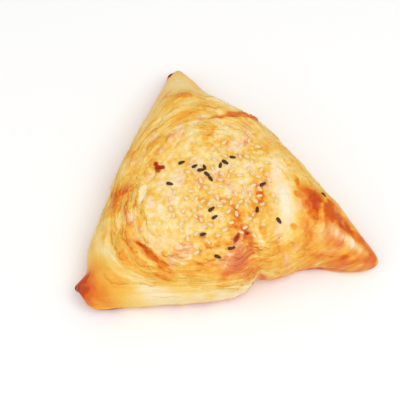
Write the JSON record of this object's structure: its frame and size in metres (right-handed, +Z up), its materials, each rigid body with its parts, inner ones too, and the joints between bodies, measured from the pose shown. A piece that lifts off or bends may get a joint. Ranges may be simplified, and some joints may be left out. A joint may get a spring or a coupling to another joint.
{
  "type": "samosa",
  "caption": "Triangular baked samosa of flaky spiral dough with a domed crown, pinched corners, a flat base and sesame on top.",
  "frame": {"origin": "on the flat base, near its middle, at the height of the table", "axes": "+Z up through the crown; +X to the right along the front side, towards the right corner; +Y away from the front side, towards the back corner"},
  "size_m": [0.133, 0.1221, 0.0367],
  "materials": {
    "crust": "satin, egg-washed baked flaky dough; golden cream with browned corners",
    "black_sesame": "satin seed coat, dark brown to black",
    "white_sesame": "satin seed coat, pale cream"
  },
  "bodies": {
    "root": {"samosa": "crust"}
  },
  "joints": []
}
